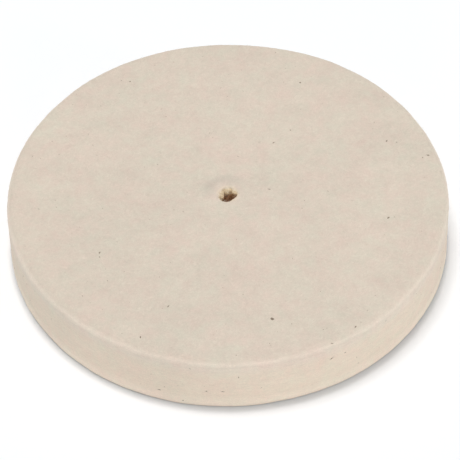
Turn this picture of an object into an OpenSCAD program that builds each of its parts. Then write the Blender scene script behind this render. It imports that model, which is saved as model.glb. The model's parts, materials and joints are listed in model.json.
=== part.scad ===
// Felt polishing wheel, lying flat: a thick plain disc of pressed wool felt with a round centre hole.
//
// Such a block is felted from carded wool batts laid one on another, and faint lines round its wall
// show where they lie. Each batt is a ring-shaped solid of its own here, in its own node, and meets
// its neighbours face to face. Together they make the whole disc: there is no bush, flange, washer
// or backing in it, and nothing in it moves. It turns with whatever spindle carries it.
//
// The die that punches the disc out enters at the top face. It leaves a soft shoulder round that
// face and a nearly sharp edge round the bottom one.
//
// Frame: +Z runs up along the hole's axis. The origin is on that axis, half way up the wheel.

/* [Wheel] */
// Outside diameter
wheel_d = 150; // [80:1:300]
// Thickness over both faces
wheel_t = 22; // [12:0.5:50]
// Radius of the soft shoulder round the top face
top_shoulder_r = 2.6; // [0.5:0.1:5]
// Radius of the crisper edge round the bottom face
bottom_edge_r = 0.8; // [0.2:0.1:5]

/* [Centre hole] */
// Diameter of the hole's straight wall
bore_d = 6.5; // [4:0.1:25]
// Radius that softens the hole's mouth at each face
mouth_r = 0.8; // [0.2:0.1:3]

/* [Colours] */
// Felt of the two faces, red green blue
face_colour = [0.855, 0.808, 0.745];
// Felt of the core, a little warmer
core_colour = [0.871, 0.812, 0.737];

/* [Hidden] */
NODES = ["bottom_face_ply", "lower_core_ply", "middle_core_ply", "upper_core_ply", "top_face_ply"];
ply_count = len(NODES);
ply_t = wheel_t / ply_count;
wheel_r = wheel_d / 2;
bore_r = bore_d / 2;
bottom_z = -wheel_t / 2;
top_z = wheel_t / 2;
overrun = 1; // how far a cutting shape runs past what it cuts
$fn = 180;

// What rounding takes off a square corner that points to +X and +Y and has its tip at the origin.
module corner_waste(r) {
  difference() {
    translate([-r, -r]) square(r + overrun);
    translate([-r, -r]) circle(r);
  }
}

// Half of the whole wheel's cross-section: a plain bar with its four corners rounded.
module wheel_section() {
  difference() {
    translate([bore_r, bottom_z]) square([wheel_r - bore_r, wheel_t]);
    translate([wheel_r, top_z]) corner_waste(top_shoulder_r);
    translate([wheel_r, bottom_z]) mirror([0, 1]) corner_waste(bottom_edge_r);
    translate([bore_r, top_z]) mirror([1, 0]) corner_waste(mouth_r);
    translate([bore_r, bottom_z]) rotate(180) corner_waste(mouth_r);
  }
}

// One ply: the slice of the wheel between two bond lines. Index 0 is the lowest.
module ply(index) {
  rotate_extrude() {
    intersection() {
      wheel_section();
      translate([0, bottom_z + index * ply_t]) square([wheel_r + overrun, ply_t]);
    }
  }
}

// The ply that the wheel lies on, with the crisp edge and the lower mouth of the hole.
module bottom_face_ply() {
  color(face_colour) ply(0);
}

// The core ply next to the bottom face.
module lower_core_ply() {
  color(core_colour) ply(1);
}

// The core ply half way up.
module middle_core_ply() {
  color(core_colour) ply(2);
}

// The core ply next to the top face.
module upper_core_ply() {
  color(core_colour) ply(3);
}

// The ply with the working face, the soft shoulder and the upper mouth of the hole.
module top_face_ply() {
  color(face_colour) ply(4);
}

bottom_face_ply();
lower_core_ply();
middle_core_ply();
upper_core_ply();
top_face_ply();
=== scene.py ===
"""The looks of the felt polishing wheel: felt over the CAD plies, loose wool, specks, light and camera.

Lengths are in millimetres until make_mesh turns them into metres. Only the lamps and the camera are set
in metres. Angles go round the wheel's axis from +X towards +Y, so the camera stands at -90 degrees and
the far side is at +90.
"""

import json
import math

import bpy
import numpy as np
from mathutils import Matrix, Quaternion, Vector


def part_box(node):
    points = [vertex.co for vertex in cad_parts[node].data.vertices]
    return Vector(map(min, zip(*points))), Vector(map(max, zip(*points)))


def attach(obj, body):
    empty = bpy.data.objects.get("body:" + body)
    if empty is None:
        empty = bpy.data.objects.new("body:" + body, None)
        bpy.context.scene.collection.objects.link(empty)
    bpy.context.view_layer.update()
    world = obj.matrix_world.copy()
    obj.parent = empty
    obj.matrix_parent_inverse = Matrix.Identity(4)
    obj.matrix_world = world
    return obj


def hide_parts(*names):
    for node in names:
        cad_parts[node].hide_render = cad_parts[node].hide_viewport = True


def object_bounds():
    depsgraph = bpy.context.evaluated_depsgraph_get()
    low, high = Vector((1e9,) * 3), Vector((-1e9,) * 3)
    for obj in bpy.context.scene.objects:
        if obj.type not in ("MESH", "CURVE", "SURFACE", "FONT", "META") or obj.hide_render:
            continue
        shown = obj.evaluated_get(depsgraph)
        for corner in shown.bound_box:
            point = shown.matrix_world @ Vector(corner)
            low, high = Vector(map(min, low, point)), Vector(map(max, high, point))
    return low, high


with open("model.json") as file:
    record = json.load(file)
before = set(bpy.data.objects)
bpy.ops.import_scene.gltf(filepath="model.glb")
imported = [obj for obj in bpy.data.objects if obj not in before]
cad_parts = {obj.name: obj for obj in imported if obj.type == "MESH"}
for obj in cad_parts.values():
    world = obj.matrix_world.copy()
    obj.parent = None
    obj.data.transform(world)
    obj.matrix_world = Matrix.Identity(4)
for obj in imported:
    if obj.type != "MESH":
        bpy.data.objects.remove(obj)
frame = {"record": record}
CAD_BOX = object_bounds()

MM = 0.001
PLIES = ["bottom_face_ply", "lower_core_ply", "middle_core_ply", "upper_core_ply", "top_face_ply"]


def span(node):
    """The lowest and highest corner of a CAD node, in millimetres."""
    return [np.array(corner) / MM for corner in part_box(node)]


def bore_radius():
    """The centre hole's radius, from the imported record."""
    return next(m["dims"]["r_mm"] for m in frame["record"]["mounts"] if m["name"] == "arbor_hole")


WHEEL_R = CAD_BOX[1][0] / MM
BOTTOM_Z = CAD_BOX[0][2] / MM
TOP_Z = CAD_BOX[1][2] / MM
BORE_R = bore_radius()
BOND_HEIGHTS = [span(node)[1][2] for node in PLIES[:-1]]

# The roundings of the CAD solid, which neither its boxes nor its record give.
SHOULDER_R = 2.6
EDGE_R = 0.8
MOUTH_R = 0.8

SEGMENTS = 600  # steps round the wheel
WALL_STEP = 0.4  # between rings up the wall
HOLE_STEPS = {"top_face_ply": 0.18, "upper_core_ply": 0.3}  # between rings down the hole, where it shows
DEEP_HOLE_STEP = 0.6
HOLD = 0.02  # rings this close to the edges of a bond plane keep smooth shading from rounding them


# Noise


def waves(points, wavelength, seed, count=40):
    """Smooth noise with a spread of about one: plane waves that run in random directions."""
    rng = np.random.default_rng(seed)
    ways = rng.normal(size=(count, 3))
    ways /= np.linalg.norm(ways, axis=1)[:, None]
    ways *= (2 * np.pi / wavelength * rng.uniform(0.7, 1.4, count))[:, None]
    phases = rng.uniform(0, 2 * np.pi, count)
    return np.cos(points @ ways.T + phases).sum(axis=1) * math.sqrt(2 / count)


def bump(value, centre, width):
    """A soft bump, 1 at its centre and nearly 0 from twice its width."""
    return np.exp(-(((value - centre) / width) ** 2))


def turn_between(angles, centre):
    """How far each angle is from a centre, in degrees, the short way round."""
    return (np.degrees(angles) - centre + 180) % 360 - 180


# The felt's relief: how far its skin stands out along its own normal, in millimetres

# What felting leaves all over, as (height, wavelength): long swells, soft lumps and a fine pebble.
UNEVENNESS = [(0.10, 48), (0.035, 11), (0.018, 2.6)]

# The same for the wool down the hole, which the drill tore.
BORE_ROUGHNESS = [(0.10, 2.4), (0.05, 0.9)]


def layered_waves(points, layers, seed):
    """Several layers of waves on one another, each with the next seed."""
    return sum(height * waves(points, length, seed + i) for i, (height, length) in enumerate(layers))


GROOVE_DEPTH = 0.018
GROOVE_WIDTH = 0.40
GROOVE_WANDER = 0.35  # how far a groove strays up and down


def bond_lines(points, outward):
    """Faint, broken grooves in the wall where two plies meet."""
    depth = np.zeros(len(points))
    for number, height in enumerate(BOND_HEIGHTS):
        strength = np.clip(0.3 + 0.7 * waves(points, 22, seed=10 + number), 0, 1.2)
        wander = GROOVE_WANDER * waves(points * [1, 1, 0], 16, seed=20 + number)
        depth += GROOVE_DEPTH * strength * bump(points[:, 2], height + wander, GROOVE_WIDTH)
    return -depth * np.clip(outward, 0, 1)


COLLAR_HEIGHT = 0.55
COLLAR_R = BORE_R + 2.6
COLLAR_WIDTH = 2.4
COLLAR_SIDE = 130  # where it is highest, in degrees round the wheel


def collar(radius, angles, upward):
    """The felt that the drill drew up round the hole, highest on the far left."""
    side = 0.55 + 0.45 * np.cos(np.radians(turn_between(angles, COLLAR_SIDE)))
    height = COLLAR_HEIGHT * side * bump(radius, COLLAR_R, COLLAR_WIDTH)
    return height * np.clip(upward, 0, 1)


# Each lobe of wool round the upper mouth: its middle angle and half width in degrees, how far it leans
# into the hole, the depth at which it leans furthest and the depth at which it has ended.
MOUTH_LOBES = [
    (156, 40, 1.70, 2.4, 4.8),
    (92, 25, 1.30, 1.9, 3.8),
    (45, 20, 0.85, 1.2, 2.2),
    (5, 18, 0.15, 1.0, 1.6),
    (-50, 30, 0.80, 0.5, 2.2),
]


def mouth_lobes(points, angles, inward):
    """Lobes of wool that lean further into the hole the deeper they reach, and then fall back."""
    depth = TOP_Z - points[:, 2]
    lean = np.zeros(len(points))
    for middle, half_width, furthest, full, ended in MOUTH_LOBES:
        growing = np.clip(depth / full, 0, 1) ** 0.75  # quickest just below the lip
        ending = 1 - np.clip((depth - full) / (ended - full), 0, 1) ** 2
        across = bump(turn_between(angles, middle), 0, half_width)
        lean = np.maximum(lean, furthest * across * growing * ending)
    down_the_hole = np.clip(inward * 1.5, 0, 1)  # fades out over the rounding of the mouth
    return lean * down_the_hole


HOLE_ZONE = BORE_R + 12  # within this radius, a surface that faces sideways is the hole's


def relief(points, normals):
    """How far the felt stands out from the CAD surface at each point."""
    radius = np.hypot(points[:, 0], points[:, 1])
    angles = np.arctan2(points[:, 1], points[:, 0])
    radial = (normals[:, :2] * points[:, :2]).sum(axis=1) / radius
    near_hole = radius < HOLE_ZONE
    outward = np.where(near_hole, 0, radial)
    inward = np.where(near_hole, -radial, 0)
    return (
        layered_waves(points, UNEVENNESS, seed=1)
        + bond_lines(points, outward)
        + np.where(points[:, 2] > 0, collar(radius, angles, normals[:, 2]), 0)
        + mouth_lobes(points, angles, inward)
        + inward * layered_waves(points, BORE_ROUGHNESS, seed=5)
    )


def on_surface(points, normals):
    """CAD surface points moved out to the felt's skin. The bench flattens what would sink into it."""
    moved = points + normals * relief(points, normals)[:, None]
    moved[:, 2] = np.maximum(moved[:, 2], BOTTOM_Z)
    return moved


# The ply meshes: closed cross-sections turned round the axis.
# A section is a list of (radius, height, outward part, upward part). The last two are the normal along
# which the relief moves the point, and are both 0 where it stays.


def arc(centre, radius, begin, end, steps=8):
    """Points on a rounding, both ends left out, from the angle begin to the angle end in degrees."""
    angles = np.radians(np.linspace(begin, end, steps + 2)[1:-1])
    return [
        (centre[0] + radius * math.cos(a), centre[1] + radius * math.sin(a), math.cos(a), math.sin(a))
        for a in angles
    ]


FINEST_RING = 0.12
WIDEST_RING = 0.95
RING_GROWTH = 1.035  # each ring is this many times as wide as the one inside it
LAST_RING = 0.3  # a ring that would lie closer than this to the rim is left out


def face_radii(inner, outer):
    """Radii across a face, close together round the hole and wider towards the rim."""
    radii, step = [inner], FINEST_RING
    while radii[-1] + step < outer - LAST_RING:
        radii.append(radii[-1] + step)
        step = min(step * RING_GROWTH, WIDEST_RING)
    return radii + [outer]


def upright(radius, outward, begin, end, step):
    """Points along the wall or down the hole, from one height to another."""
    hold = math.copysign(HOLD, end - begin)
    steps = max(2, round(abs(end - begin) / step))
    heights = [begin, *np.linspace(begin + hold, end - hold, steps + 1), end]
    return [(radius, height, outward, 0) for height in heights]


def bond(height, outwards):
    """A bond plane between two plies, without the rings that it shares with the wall and the hole."""
    middle = [(radius, height, 0, 0) for radius in np.linspace(BORE_R, WHEEL_R, 5)[1:-1]]
    points = [(BORE_R + HOLD, height, -1, 0), *middle, (WHEEL_R - HOLD, height, 1, 0)]
    return points if outwards else points[::-1]


def section(node):
    """The closed cross-section of a ply, counter-clockwise from the inner end of its underside."""
    low, high = (corner[2] for corner in span(node))
    is_bottom, is_top = node == PLIES[0], node == PLIES[-1]
    points = []
    if is_bottom:
        radii = face_radii(BORE_R + MOUTH_R, WHEEL_R - EDGE_R)
        points += [(radius, low, 0, -1) for radius in radii]
        points += arc((WHEEL_R - EDGE_R, low + EDGE_R), EDGE_R, -90, 0)
    else:
        points += bond(low, outwards=True)
    points += upright(WHEEL_R, 1, low + EDGE_R * is_bottom, high - SHOULDER_R * is_top, WALL_STEP)
    if is_top:
        points += arc((WHEEL_R - SHOULDER_R, high - SHOULDER_R), SHOULDER_R, 0, 90)
        radii = face_radii(BORE_R + MOUTH_R, WHEEL_R - SHOULDER_R)
        points += [(radius, high, 0, 1) for radius in reversed(radii)]
        points += arc((BORE_R + MOUTH_R, high - MOUTH_R), MOUTH_R, 90, 180)
    else:
        points += bond(high, outwards=False)
    step = HOLE_STEPS.get(node, DEEP_HOLE_STEP)
    points += upright(BORE_R, -1, high - MOUTH_R * is_top, low + MOUTH_R * is_bottom, step)
    if is_bottom:
        points += arc((BORE_R + MOUTH_R, low + MOUTH_R), MOUTH_R, 180, 270)
    return np.array(points)


def grid_faces(rows, columns):
    """The quads of a grid that closes on itself both ways."""
    index = np.arange(rows * columns).reshape(rows, columns)
    right = np.roll(index, -1, axis=1)
    quads = np.stack([index, right, np.roll(right, -1, axis=0), np.roll(index, -1, axis=0)], axis=-1)
    return quads.reshape(-1, 4)


def make_mesh(name, points, faces, smooth=True):
    """A mesh object from points in millimetres."""
    mesh = bpy.data.meshes.new(name)
    mesh.from_pydata((points * MM).tolist(), [], faces.tolist())
    mesh.polygons.foreach_set("use_smooth", np.full(len(faces), smooth))
    mesh.update()
    made = bpy.data.objects.new(name, mesh)
    bpy.context.scene.collection.objects.link(made)
    return made


def turned(outward, upward, angles):
    """A list of (outward, upward) pairs turned round the axis: one row of vectors for each pair."""
    rows = np.empty((len(outward), len(angles), 3))
    rows[..., 0] = np.outer(outward, np.cos(angles))
    rows[..., 1] = np.outer(outward, np.sin(angles))
    rows[..., 2] = upward[:, None]
    return rows.reshape(-1, 3)


def ply_skin(node):
    """The felted shape of one ply, which replaces its CAD solid."""
    radii, heights, outward, upward = section(node).T
    angles = np.arange(SEGMENTS) * 2 * np.pi / SEGMENTS
    points = on_surface(turned(radii, heights, angles), turned(outward, upward, angles))
    return make_mesh("felt_" + node, points, grid_faces(len(radii), SEGMENTS))


# Loose wool and specks


def unit(vectors):
    """The same vectors at a length of one."""
    return vectors / np.linalg.norm(vectors, axis=1)[:, None]


def cross_axes(ways):
    """Two unit vectors square to each way and to each other."""
    helper = np.where(np.abs(ways[:, 2:]) < 0.8, [0.0, 0.0, 1.0], [1.0, 0.0, 0.0])
    first = unit(np.cross(ways, helper))
    return first, np.cross(ways, first)


STRAND_RINGS = 8
STRAND_SIDES = 3
STRAND_TAPER = 0.6  # share of its thickness that a strand loses by its tip
SWAY = (0.02, 0.10)  # least and most a strand waves from side to side, as a share of its length
SWAY_ANGLE = 5.5  # how much of a sine wave a whole strand makes, in radians


def strand_faces():
    """The triangles of one closed strand, by the numbers of its points, ring after ring."""
    faces = []
    for ring in range(STRAND_RINGS - 1):
        for side in range(STRAND_SIDES):
            here = ring * STRAND_SIDES + side
            beside = ring * STRAND_SIDES + (side + 1) % STRAND_SIDES
            above, beside_above = here + STRAND_SIDES, beside + STRAND_SIDES
            faces += [(here, beside, beside_above), (here, beside_above, above)]
    last = (STRAND_RINGS - 1) * STRAND_SIDES
    return np.array(faces + [(0, 2, 1), (last, last + 1, last + 2)])


def strands(name, roots, ways, bends, lengths, thickness, seed):
    """Tapering fibres. Each leaves its root along its way, waves a little and curves to its bend."""
    rng = np.random.default_rng(seed)
    first, second = cross_axes(ways)
    wave = rng.uniform(*SWAY, (2, len(roots), 1))
    phase = rng.uniform(0, 2 * math.pi, (2, len(roots), 1))
    points = []
    for part in np.linspace(0, 1, STRAND_RINGS):
        sway = wave * (np.sin(SWAY_ANGLE * part + phase) - np.sin(phase))
        course = ways * part + bends * part**2 + first * sway[0] + second * sway[1]
        middle = roots + course * lengths[:, None]
        radius = (thickness / 2 * (1 - STRAND_TAPER * part))[:, None]
        for side in range(STRAND_SIDES):
            a = 2 * math.pi * side / STRAND_SIDES
            points.append(middle + (first * math.cos(a) + second * math.sin(a)) * radius)
    points = np.stack(points, axis=1)
    points[..., 2] = np.maximum(points[..., 2], BOTTOM_Z)
    starts = np.arange(len(roots)) * STRAND_RINGS * STRAND_SIDES
    faces = (starts[:, None, None] + strand_faces()).reshape(-1, 3)
    return make_mesh(name, points.reshape(-1, 3), faces)


ROOT_DEPTH = 0.05
CURL = 0.45  # how far a fibre's tip strays in a direction of its own, as a share of its length
DROOP = 0.35  # how far its tip sinks back for each unit that it stands up


def nap(name, places, lengths, thickness, lift, seed):
    """Loose fibres rooted just under the skin, lying mostly along it. lift is how far they stand up."""
    points, normals = places
    rng = np.random.default_rng(seed)
    count = len(points)
    sideways = rng.normal(size=(count, 3))
    sideways -= normals * (sideways * normals).sum(axis=1)[:, None]
    ways = unit(unit(sideways) + normals * (lift * rng.uniform(0.5, 1.6, count))[:, None])
    curl = unit(rng.normal(size=(count, 3)))
    bends = CURL * curl - DROOP * lift * normals
    roots = on_surface(points, normals) - normals * ROOT_DEPTH
    long = rng.uniform(*lengths, count)
    thick = rng.uniform(*thickness, count)
    return strands(name, roots, ways, bends, long, thick, seed + 100)


def spokes(angles):
    """The unit vectors that point straight out from the axis at each angle, in radians."""
    return np.stack([np.cos(angles), np.sin(angles), np.zeros(len(angles))], axis=1)


def face_places(count, rng, side=1):
    """Random places on the top face, or on the underside where side is -1, evenly spread."""
    inner, outer = BORE_R + MOUTH_R, WHEEL_R - SHOULDER_R
    radius = np.sqrt(rng.uniform(inner**2, outer**2, count))
    points = spokes(rng.uniform(0, 2 * np.pi, count)) * radius[:, None]
    normals = np.tile([0.0, 0.0, float(side)], (count, 1))
    return points + normals * TOP_Z, normals


def wall_places(count, rng):
    """Random places on the wall, between its two roundings."""
    normals = spokes(rng.uniform(0, 2 * np.pi, count))
    height = rng.uniform(BOTTOM_Z + EDGE_R, TOP_Z - SHOULDER_R, count)
    return normals * WHEEL_R + np.outer(height, [0, 0, 1]), normals


def rounding_places(count, rng, middle_r, radius, begin, end):
    """Random places on a rounding under the top face, from the angle begin to end in degrees."""
    out = spokes(rng.uniform(0, 2 * np.pi, count))
    tilt = np.radians(rng.uniform(begin, end, count))[:, None]
    normals = out * np.cos(tilt) + [0, 0, 1] * np.sin(tilt)
    return out * middle_r + [0, 0, TOP_Z - radius] + normals * radius, normals


def hole_places(count, rng, shallow, deep):
    """Random places down the wall of the hole, between two depths below the top face."""
    out = spokes(rng.uniform(0, 2 * np.pi, count))
    height = TOP_Z - rng.uniform(shallow, deep, count)
    return out * BORE_R + np.outer(height, [0, 0, 1]), -out


FINE = (0.025, 0.045)  # thickness of single fibres
TUFT = (0.06, 0.13)  # thickness of small locks of fibres that cling together


def loose_wool():
    """All the fibres that stand out of the felt, by where they grow."""
    rng = np.random.default_rng(31)
    shoulder = rounding_places(700, rng, WHEEL_R - SHOULDER_R, SHOULDER_R, 0, 90)
    mouth = rounding_places(110, rng, BORE_R + MOUTH_R, MOUTH_R, 95, 180)
    face = face_places(1000, rng)
    wall = wall_places(900, rng)
    hole = hole_places(130, rng, 1.2, 6.5)
    return [
        nap("nap_top_face", face, (0.8, 2.4), FINE, lift=0.15, seed=32),
        nap("nap_wall", wall, (0.6, 1.8), FINE, lift=0.35, seed=33),
        nap("nap_shoulder", shoulder, (0.6, 1.6), FINE, lift=0.4, seed=34),
        nap("nap_hole_mouth", mouth, (0.5, 1.5), FINE, lift=0.7, seed=35),
        nap("tufts_in_hole", hole, (0.7, 1.9), TUFT, lift=0.7, seed=36),
    ]


# The specks of plant matter that catch the eye on the face: x, y, length, width, turn in degrees.
FACE_SPECKS = [
    (26, 53, 1.0, 0.9, 10),
    (22, 30, 0.7, 0.6, 0),
    (16, 24, 1.8, 0.5, 30),
    (55, 24, 1.0, 0.6, 60),
    (69, 17, 1.5, 0.6, 160),
    (67, 16, 0.8, 0.4, 110),
    (14, 2, 1.4, 0.4, 160),
    (54, -12, 1.4, 0.8, 45),
    (-43, -26, 1.2, 0.6, 70),
    (-43, -28, 0.9, 0.4, 120),
    (14, -56.3, 2.2, 1.6, 10),
    (13.6, -56, 1.2, 1.2, 80),
    (-20, -50, 1.2, 0.4, 50),
    (-29, -63, 1.2, 0.5, 90),
    (41, -60, 1.2, 0.5, 60),
    (33, -67, 1.3, 0.4, 0),
    (-34, 55, 0.8, 0.5, 30),
]

# The same on the wall: angle round the wheel, height, length, width, turn away from level.
WALL_SPECKS = [
    (-64, 4, 1.8, 0.5, 20),
    (-60, 4, 0.9, 0.4, 0),
    (-108, -6, 1.5, 0.5, 0),
    (-102, -9, 0.7, 0.6, 30),
    (-88, 4, 1.0, 0.4, 80),
    (-96, -3, 0.9, 0.4, 10),
    (-92, -3, 1.8, 0.3, 0),
]


CHIP_ABOVE = 0.06  # how far a chip's top stands above the felt
CHIP_BELOW = 0.10  # and its underside lies below it


def chip(rng, place, normal, length, width, turn):
    """The points of one flat, pointed chip, half sunk in the felt. turn is in radians."""
    level = np.cross([0.0, 0.0, 1.0], normal) if abs(normal[2]) < 0.5 else np.array([1.0, 0.0, 0.0])
    level = level / np.linalg.norm(level)
    square = np.cross(normal, level)
    along = level * math.cos(turn) + square * math.sin(turn)
    across = np.cross(normal, along)
    corners = [along * length / 2, across * width / 2, -along * length / 2, -across * width / 2]
    rim = [place + corner * rng.uniform(0.7, 1.2) for corner in corners]
    return rim + [place + normal * CHIP_ABOVE, place - normal * CHIP_BELOW]


FACE_SLIVERS = 110  # on each face
WALL_SLIVERS = 70
SLIVER_LENGTH = (0.4, 1.0)
SLIVER_WIDTH = (0.08, 0.25)


def slivers(rng):
    """Small chips scattered all over, as (place, normal, length, width, turn)."""
    found = []
    faces = face_places(FACE_SLIVERS, rng), face_places(FACE_SLIVERS, rng, side=-1)
    for places in (*faces, wall_places(WALL_SLIVERS, rng)):
        for place, normal in zip(*places):
            size = rng.uniform(*SLIVER_LENGTH), rng.uniform(*SLIVER_WIDTH)
            found.append((place, normal, *size, rng.uniform(0, math.pi)))
    return found


def specks():
    """All the chips, as one piece: those that catch the eye, and the slivers."""
    rng = np.random.default_rng(41)
    up = np.array([0.0, 0.0, 1.0])
    chips = [((x, y, TOP_Z), up, *size, math.radians(turn)) for x, y, *size, turn in FACE_SPECKS]
    for angle, height, *size, turn in WALL_SPECKS:
        out = spokes(np.radians([angle]))[0]
        chips.append((out * WHEEL_R + up * height, out, *size, math.radians(turn)))
    chips += slivers(rng)
    points, faces = [], []
    one = [(i, (i + 1) % 4, 4) for i in range(4)] + [((i + 1) % 4, i, 5) for i in range(4)]
    for place, normal, length, width, turn in chips:
        seat = on_surface(np.array([place], float), normal[None])[0]
        faces += [tuple(i + len(points) for i in face) for face in one]
        points += chip(rng, seat, normal, length, width, turn)
    return make_mesh("plant_specks", np.array(points), np.array(faces), smooth=False)


# Materials


def feed(tree, socket, value):
    """Gives an input socket its value, or links it to the output socket that it comes from."""
    if isinstance(value, bpy.types.NodeSocket):
        tree.links.new(value, socket)
    else:
        socket.default_value = value


def add(tree, kind, settings=None, **inputs):
    """Adds a shader node. Inputs are named, with _ for each space, and are values or output sockets."""
    made = tree.nodes.new("ShaderNode" + kind)
    for key, value in (settings or {}).items():
        setattr(made, key, value)
    for key, value in inputs.items():
        feed(tree, made.inputs[key.replace("_", " ")], value)
    return made


def calc(tree, operation, a, b=0.0, c=0.0, clamp=False):
    """A math node on up to three values or sockets."""
    made = tree.nodes.new("ShaderNodeMath")
    made.operation = operation
    made.use_clamp = clamp
    for socket, value in zip(made.inputs, (a, b, c)):
        feed(tree, socket, value)
    return made.outputs[0]


def blend(tree, factor, a, b, kind="MIX"):
    """A colour mix of two colours or sockets."""
    made = tree.nodes.new("ShaderNodeMix")
    made.data_type = "RGBA"
    made.blend_type = kind
    # A mix node has sockets for numbers and vectors too: 6 and 7 are its two colours.
    for index, value in ((0, factor), (6, a), (7, b)):
        feed(tree, made.inputs[index], value)
    return made.outputs[2]


NOISE_ROUGHNESS = 0.55


def noise(tree, place, size, detail=2.0, stretch=(1, 1, 1), turn=0.0):
    """Noise with features of about size millimetres, drawn out by stretch along axes turned about Z."""
    scale = [1 / (size * s) for s in stretch]
    aligned = add(tree, "Mapping", {"vector_type": "TEXTURE"}, Vector=place, Rotation=(0, 0, turn))
    drawn_out = add(tree, "Mapping", Vector=aligned.outputs[0], Scale=scale).outputs[0]
    made = add(tree, "TexNoise", Vector=drawn_out, Scale=1.0, Detail=detail, Roughness=NOISE_ROUGHNESS)
    return made.outputs["Fac"]


def swing(tree, field, amount):
    """A 0 to 1 field as a push of up to amount either way."""
    return calc(tree, "MULTIPLY_ADD", field, 2 * amount, -amount)


def total(tree, parts):
    """The sum of a list of sockets."""
    result = parts[0]
    for part in parts[1:]:
        result = calc(tree, "ADD", result, part)
    return result


def hill(tree, value, centre, width):
    """A rounded bump: 1 where the value is at its centre, 0 from one width away."""
    off = calc(tree, "MULTIPLY_ADD", value, 1 / width, -centre / width)
    return calc(tree, "MULTIPLY_ADD", calc(tree, "MULTIPLY", off, off), -1.0, 1.0, clamp=True)


THREAD_SHARPNESS = 14.0


def threads(tree, field):
    """Thin lines where a noise field passes its middle value: 1 along them, nearly 0 elsewhere."""
    ridge = calc(tree, "SUBTRACT", 1.0, calc(tree, "ABSOLUTE", swing(tree, field, 1.0)))
    return calc(tree, "POWER", ridge, THREAD_SHARPNESS)


def ramp(tree, factor, stops):
    """A colour ramp with the given (position, colour) stops."""
    made = add(tree, "ValToRGB", Fac=factor)
    elements = made.color_ramp.elements
    for element, (position, colour) in zip(elements, (stops[0], stops[-1])):
        element.position = position
        element.color = (*colour, 1)
    for position, colour in stops[1:-1]:
        elements.new(position).color = (*colour, 1)
    return made.outputs[0]


def scaled(tree, colour, factor):
    """A colour made darker or lighter by a factor."""
    return add(tree, "VectorMath", {"operation": "SCALE"}, Vector=colour, Scale=factor).outputs[0]


def place_in_mm(tree):
    """Where on the wheel the surface is, in millimetres from its middle."""
    return scaled(tree, add(tree, "TexCoord").outputs["Object"], 1 / MM)


FACE_WOOL = (0.66, 0.57, 0.48)
# Paler than the face: partly a painted highlight along the shoulder.
SHOULDER_HIGHLIGHT = (0.765, 0.66, 0.56)
# Partly the warmer tone of the cut wool and partly painted light, paler to make up for the light the wall
# lacks.
CUT_WOOL_LIGHTENED = (0.78, 0.665, 0.55)
# Painted light: the wall's foot made paler, in place of the light that the floor throws up at it.
FOOT_BOUNCE_LIGHT = (0.87, 0.75, 0.63)
# Partly the cream of the wool in the hole's mouth and partly painted light: it is made this pale to light
# the lobes there.
MOUTH_WOOL_LIT = (0.99, 0.81, 0.56)
# Painted shade: the browns deep in the hole, for the warm colour that light takes there after bouncing
# about in the wool.
WARM_SHADE_BROWN = (0.98, 0.70, 0.48)
DEEP_SHADE_BROWN = (0.62, 0.36, 0.20)
DARK_HAIR = (0.30, 0.24, 0.18)
CRESCENT_SHADE_GREY = (0.92, 0.925, 0.93)  # painted shade for a crescent beside the hole; multiplies the wool's own colour, as the two tints below do
GREEN_TINT = (0.98, 1.0, 0.98)
PINK_TINT = (1.0, 0.967, 0.96)

# The wool from the underside, at 0, to the top face, at 1. The faces are greyer than the cut wall, which
# is also made paler as painted light, the wall is palest at its foot as painted light from the floor, and
# the shoulder lies between wall and face as a painted highlight.
WOOL_AND_LIGHT_BY_HEIGHT = [
    (0.0, FACE_WOOL),
    (0.04, FOOT_BOUNCE_LIGHT),
    (0.08, FOOT_BOUNCE_LIGHT),
    (0.25, CUT_WOOL_LIGHTENED),
    (0.70, CUT_WOOL_LIGHTENED),
    (0.86, SHOULDER_HIGHLIGHT),
    (0.95, SHOULDER_HIGHLIGHT),
    (0.985, FACE_WOOL),
]


def wool_and_light_by_height(tree, height):
    """The wool's colour by height, with painted light on the wall, its foot and the shoulder, before its
    streaks and patches.
    """
    return ramp(tree, calc(tree, "MULTIPLY_ADD", height, 1 / (TOP_Z - BOTTOM_Z), 0.5), WOOL_AND_LIGHT_BY_HEIGHT)


SHADE_CRESCENT_R = 7.0  # middle of the crescent of painted shade round the hole
SHADE_CRESCENT_WIDTH = 2.4
SHADE_CRESCENT_SIDE = math.radians(120)
SHADE_CRESCENT_FADE = (1.5, -0.3)  # slope and offset against the cosine of the angle from its middle


def painted_crescent_shade(tree, colour, x, y, radius):
    """Painted shade: a grey crescent beside the hole, on its far left, that deepens the shade on the
    collar's far slope.
    """
    across = calc(tree, "MULTIPLY", y, math.sin(SHADE_CRESCENT_SIDE))
    towards = calc(tree, "MULTIPLY_ADD", x, math.cos(SHADE_CRESCENT_SIDE), across)
    cosine = calc(tree, "DIVIDE", towards, radius)
    side = calc(tree, "MULTIPLY_ADD", cosine, *SHADE_CRESCENT_FADE, clamp=True)
    share = calc(tree, "MULTIPLY", hill(tree, radius, SHADE_CRESCENT_R, SHADE_CRESCENT_WIDTH), side)
    return blend(tree, share, colour, (*CRESCENT_SHADE_GREY, 1), "MULTIPLY")


LIP_CREAM_LIGHT = 0.2  # how creamy and lit the lip of the hole is, where 1 is the wool deeper in its mouth; its paleness is partly painted light
LIP_SLOPE = 2.0  # how fast it gets there, for each millimetre inwards
CREAM_LIGHT_RISE = (1.8, -0.1)  # slope and offset of the creamy, partly painted light below the lip against the depth
DEEP_SHADE_RISE = (0.6, -1.6)  # the same for the painted shade deep in the hole
DEEP_SHADE_TILT = 0.35  # how much higher the painted shade begins for each millimetre towards +X, as the near lip's shadow does
DEEP_SHADE_RAGGED = 1.8  # how far its upper edge strays up and down


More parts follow.
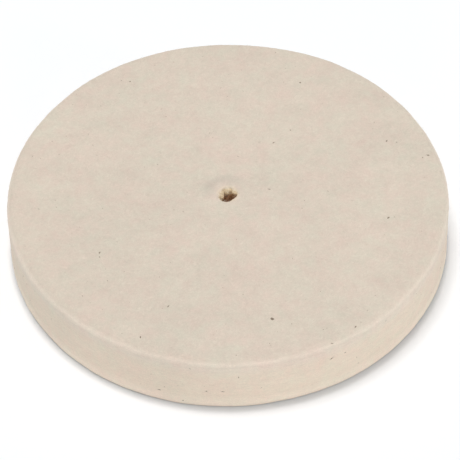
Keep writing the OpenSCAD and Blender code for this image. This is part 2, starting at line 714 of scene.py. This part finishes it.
def creamy_and_lit(tree, depth, radius, inside):
    """How creamy and lit the wool is over the mouth of the hole, partly painted light: faintly at its
    lip, and fully below it.
    """
    lip = calc(tree, "MULTIPLY_ADD", radius, -LIP_SLOPE, LIP_SLOPE * (BORE_R + MOUTH_R), clamp=True)
    below = calc(tree, "MULTIPLY_ADD", depth, *CREAM_LIGHT_RISE, clamp=True)
    below_lip = calc(tree, "MULTIPLY", below, inside)
    return calc(tree, "MAXIMUM", below_lip, calc(tree, "MULTIPLY", lip, LIP_CREAM_LIGHT))


def deep_hole_shade(tree, where, x, depth, inside):
    """Painted shade deep in the hole: how far its warm brown reaches, with a ragged upper edge tilted as
    the lip's shadow is.
    """
    tufty = swing(tree, noise(tree, where, size=1.0, detail=3.0), DEEP_SHADE_RAGGED)
    ragged = total(tree, [depth, calc(tree, "MULTIPLY", x, DEEP_SHADE_TILT), tufty])
    deep = calc(tree, "MULTIPLY_ADD", ragged, *DEEP_SHADE_RISE, clamp=True)
    return calc(tree, "MULTIPLY", deep, inside)


def around_the_hole(tree, colour, where, spot):
    """The felt's colour with painted shade in a crescent beside the hole, a creamy mouth partly of
    painted light, and painted warm shade below.

    Both faces are treated alike.
    """
    x, y, z = spot
    radius = calc(tree, "SQRT", total(tree, [calc(tree, "MULTIPLY", value, value) for value in (x, y)]))
    depth = calc(tree, "SUBTRACT", TOP_Z, calc(tree, "ABSOLUTE", z))
    inside = calc(tree, "LESS_THAN", radius, BORE_R + MOUTH_R)
    colour = painted_crescent_shade(tree, colour, x, y, radius)
    colour = blend(tree, creamy_and_lit(tree, depth, radius, inside), colour, (*MOUTH_WOOL_LIT, 1))
    # Painted shade: the warm browns deep in the hole.
    shade_browns = ramp(tree, noise(tree, where, size=0.9), [(0.40, DEEP_SHADE_BROWN), (0.60, WARM_SHADE_BROWN)])
    return blend(tree, deep_hole_shade(tree, where, x, depth, inside), colour, shade_browns)


CURL_PUSH = (3.2, 3.2, 1.2)  # how far a slow noise pushes the streaks about, in millimetres
CURL_SCALE = 0.28  # that noise's features for each millimetre
FIBRE_TURNS = (0.2, 1.2, 2.3)  # directions of the broad streaks, in radians
FILAMENT_TURNS = (0.7, 1.7, 2.8)  # and of the thin ones
FILAMENT_TONE = (0.055, -0.04)  # slope and offset: filaments are paler than the wool between them
HAIR_CUT = (6.0, -4.6)  # slope and offset that leave only the highest crests of a noise
STREAK_HEIGHT = 3.0  # bump height of the streaks and filaments for each unit of their tone
GRAIN_HEIGHT = 0.5
BUMP_STRENGTH = 0.25
ROUGHNESS = (0.12, 0.86)  # slope and offset against the grain


def curled(tree, where):
    """The place pushed about by a slow noise, so that what is drawn in it curls as fibres do."""
    slow = add(tree, "TexNoise", Vector=where, Scale=CURL_SCALE, Detail=1.0).outputs["Color"]
    push = add(tree, "VectorMath", {"operation": "MULTIPLY_ADD"}, Vector=slow)
    feed(tree, push.inputs[1], CURL_PUSH)
    feed(tree, push.inputs[2], where)
    return push.outputs[0]


def fibre_streaks(tree, place):
    """The tone of the wool's broad streaks and thin filaments, as two fields about 0."""
    streaks = [noise(tree, place, size=0.32, stretch=(9, 1, 1), turn=turn) for turn in FIBRE_TURNS]
    fibres = total(tree, [swing(tree, streak, 0.05) for streak in streaks])
    crests = [
        noise(tree, place, size=0.55, detail=1.0, stretch=(8, 1, 1), turn=turn) for turn in FILAMENT_TURNS
    ]
    lines = total(tree, [threads(tree, crest) for crest in crests])
    return fibres, calc(tree, "MULTIPLY_ADD", lines, *FILAMENT_TONE)


def uneven_tone(tree, where):
    """The layers on the wall and the clouds and mottles all over, as three fields about 0."""
    layers = swing(tree, noise(tree, where, size=0.7, stretch=(12, 12, 1)), 0.05)
    clouds = swing(tree, noise(tree, where, size=34, detail=3.0), 0.055)
    mottles = swing(tree, noise(tree, where, size=4.5, detail=3.0), 0.04)
    return [layers, clouds, mottles]


def tinted(tree, colour, where):
    """The wool is a little pinker in some places and greener in others."""
    for size in (13, 3.5):
        tint = ramp(tree, noise(tree, where, size), [(0.32, GREEN_TINT), (0.68, PINK_TINT)])
        colour = blend(tree, 1.0, colour, tint, "MULTIPLY")
    return colour


def haired(tree, colour, place):
    """A few dark hairs lie among the light ones."""
    streak = noise(tree, place, size=0.34, detail=1.0, stretch=(5, 1, 1), turn=0.8)
    hair = calc(tree, "MULTIPLY_ADD", streak, *HAIR_CUT, clamp=True)
    return blend(tree, hair, colour, (*DARK_HAIR, 1))


def felt(name, sheen, dent_depth):
    """Pressed wool: curled fibres, clouds and grain in its tone, patches of tint and a few dark hairs."""
    material = bpy.data.materials.new(name)
    material.use_nodes = True
    tree = material.node_tree
    tree.nodes.clear()
    where = place_in_mm(tree)
    spot = list(add(tree, "SeparateXYZ", Vector=where).outputs)
    place = curled(tree, where)
    fibres, filaments = fibre_streaks(tree, place)
    grain = noise(tree, where, size=0.9)

    tone = total(tree, [fibres, filaments, swing(tree, grain, 0.035), *uneven_tone(tree, where)])
    colour = scaled(tree, wool_and_light_by_height(tree, spot[2]), calc(tree, "ADD", tone, 1.0))
    colour = tinted(tree, colour, where)
    colour = haired(tree, colour, place)
    colour = around_the_hole(tree, colour, where, spot)

    raised = calc(tree, "MULTIPLY", calc(tree, "ADD", fibres, filaments), STREAK_HEIGHT)
    height = calc(tree, "ADD", raised, swing(tree, grain, GRAIN_HEIGHT))
    dent = add(tree, "Bump", Height=height, Strength=BUMP_STRENGTH, Distance=dent_depth * MM)
    roughness = calc(tree, "MULTIPLY_ADD", grain, *ROUGHNESS)
    shader = add(tree, "BsdfPrincipled", Base_Color=colour, Roughness=roughness, Normal=dent.outputs[0])
    shader.inputs["Specular IOR Level"].default_value = 0.15
    shader.inputs["Sheen Weight"].default_value = sheen
    shader.inputs["Sheen Roughness"].default_value = 0.6
    shader.inputs["Sheen Tint"].default_value = (1.0, 0.95, 0.88, 1)
    add(tree, "OutputMaterial", Surface=shader.outputs[0])
    return material


def simple_material(name, roughness, specular):
    """A material with its stock shader, whose colour is still to be set. Returns both."""
    material = bpy.data.materials.new(name)
    material.use_nodes = True
    shader = material.node_tree.nodes["Principled BSDF"]
    shader.inputs["Roughness"].default_value = roughness
    shader.inputs["Specular IOR Level"].default_value = specular
    return material, shader


def loose_fibre():
    """Single wool fibres: glossier than the mass, and creamier in some places than in others."""
    material, shader = simple_material("loose_fibre", roughness=0.6, specular=0.3)
    tree = material.node_tree
    patchy = noise(tree, place_in_mm(tree), size=2.0)
    tone = ramp(tree, patchy, [(0.3, (0.60, 0.53, 0.44)), (0.7, (0.74, 0.67, 0.57))])
    feed(tree, shader.inputs["Base Color"], tone)
    return material


def plant_matter():
    """Dry brown chips with a streaky, uneven tone."""
    material, shader = simple_material("plant_matter", roughness=0.8, specular=0.5)
    tree = material.node_tree
    streaky = noise(tree, place_in_mm(tree), size=0.4, stretch=(3, 1, 1))
    tone = ramp(tree, streaky, [(0.2, (0.14, 0.10, 0.07)), (0.8, (0.33, 0.26, 0.19))])
    feed(tree, shader.inputs["Base Color"], tone)
    return material


def white_floor():
    """Plain matt white."""
    material, shader = simple_material("white_floor", roughness=0.9, specular=0.0)
    shader.inputs["Base Color"].default_value = (0.92, 0.92, 0.92, 1)
    return material


# Stage, light and camera


FLOOR_GAP = 0.08  # the specks underneath hold the felt this far off the floor
FLOOR_REACH = 4000


def floor():
    """A plain pale floor that the wheel lies on."""
    corners = np.array([(-1, -1), (1, -1), (1, 1), (-1, 1)]) * float(FLOOR_REACH)
    points = np.column_stack([corners, np.full(4, BOTTOM_Z - FLOOR_GAP)])
    made = make_mesh("floor", points, np.array([[0, 1, 2, 3]]))
    made.data.materials.append(white_floor())


def direction(azimuth, elevation):
    """The unit vector towards a light or camera, from its angle round the wheel and above the floor."""
    a, e = math.radians(azimuth), math.radians(elevation)
    return Vector((math.cos(a) * math.cos(e), math.sin(a) * math.cos(e), math.sin(e)))


# Lamps: angle round the wheel, angle above the floor, diameter in metres, watts.
LAMPS = {
    "overhead": (137, 80.5, 0.8, 31),
    "top": (90, 85, 0.3, 19.5),
    "front": (-90, 5, 0.5, 13),
    "right": (-20, 5, 0.5, 12),
}
LAMP_DISTANCE = 3.0  # metres
ROOM_COLOUR = (0.93, 1.0, 1.06, 1)
ROOM_STRENGTH = 0.53
LAMP_COLOUR = (1.02, 0.995, 0.98)


def lamp(name, azimuth, elevation, size, watts):
    """A round soft light that shines at the wheel and doesn't show itself. size is its diameter."""
    data = bpy.data.lights.new(name, "AREA")
    data.shape = "DISK"
    data.size = size
    data.energy = watts
    data.color = LAMP_COLOUR
    made = bpy.data.objects.new(name, data)
    way = direction(azimuth, elevation)
    made.location = way * LAMP_DISTANCE
    made.rotation_mode = "QUATERNION"
    made.rotation_quaternion = way.to_track_quat("Z", "Y")
    made.visible_camera = False
    bpy.context.scene.collection.objects.link(made)


def light():
    """An even, faintly cool room, and soft lamps."""
    world = bpy.data.worlds.new("studio")
    world.use_nodes = True
    background = world.node_tree.nodes["Background"]
    background.inputs["Color"].default_value = ROOM_COLOUR
    background.inputs["Strength"].default_value = ROOM_STRENGTH
    bpy.context.scene.world = world
    for name, settings in LAMPS.items():
        lamp(name, *settings)


# The camera, as fitted to the outline of the wheel in the photograph.
CAMERA_AIM = (0.53, -0.56, BOTTOM_Z + 4.5)  # millimetres
CAMERA_DISTANCE = 0.978  # metres
CAMERA_ELEVATION = 47.54  # degrees above the floor
CAMERA_ROLL = 0.784  # degrees
CAMERA_LENS = 222.5  # focal length in millimetres on a sensor 36 wide


def camera():
    """The camera at the photograph's viewing angle, with its long lens and slight tilt."""
    data = bpy.data.cameras.new("camera")
    data.lens = CAMERA_LENS
    data.sensor_width = 36
    data.clip_start = 0.05
    data.clip_end = 20
    made = bpy.data.objects.new("camera", data)
    way = direction(-90, CAMERA_ELEVATION)
    made.location = Vector(CAMERA_AIM) * MM + way * CAMERA_DISTANCE
    made.rotation_mode = "QUATERNION"
    made.rotation_quaternion = Quaternion(way, -math.radians(CAMERA_ROLL)) @ way.to_track_quat("Z", "Y")
    bpy.context.scene.collection.objects.link(made)
    bpy.context.scene.camera = made


# Putting it together

camera()
light()
floor()
bpy.context.scene.view_settings.view_transform = "Standard"

FACE_FELT = felt("face_felt", sheen=0.15, dent_depth=0.10)
CORE_FELT = felt("core_felt", sheen=0.10, dent_depth=0.14)
SLOTS = {part["node"]: part["material_slot"] for part in frame["record"]["subparts"]}

for node in PLIES:
    piece = ply_skin(node)
    piece.data.materials.append(FACE_FELT if SLOTS[node] == "face_felt" else CORE_FELT)
    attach(piece, "root")
    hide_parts(node)

FIBRE = loose_fibre()
for piece in loose_wool():
    piece.data.materials.append(FIBRE)
    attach(piece, "root")

chips = specks()
chips.data.materials.append(plant_matter())
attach(chips, "root")
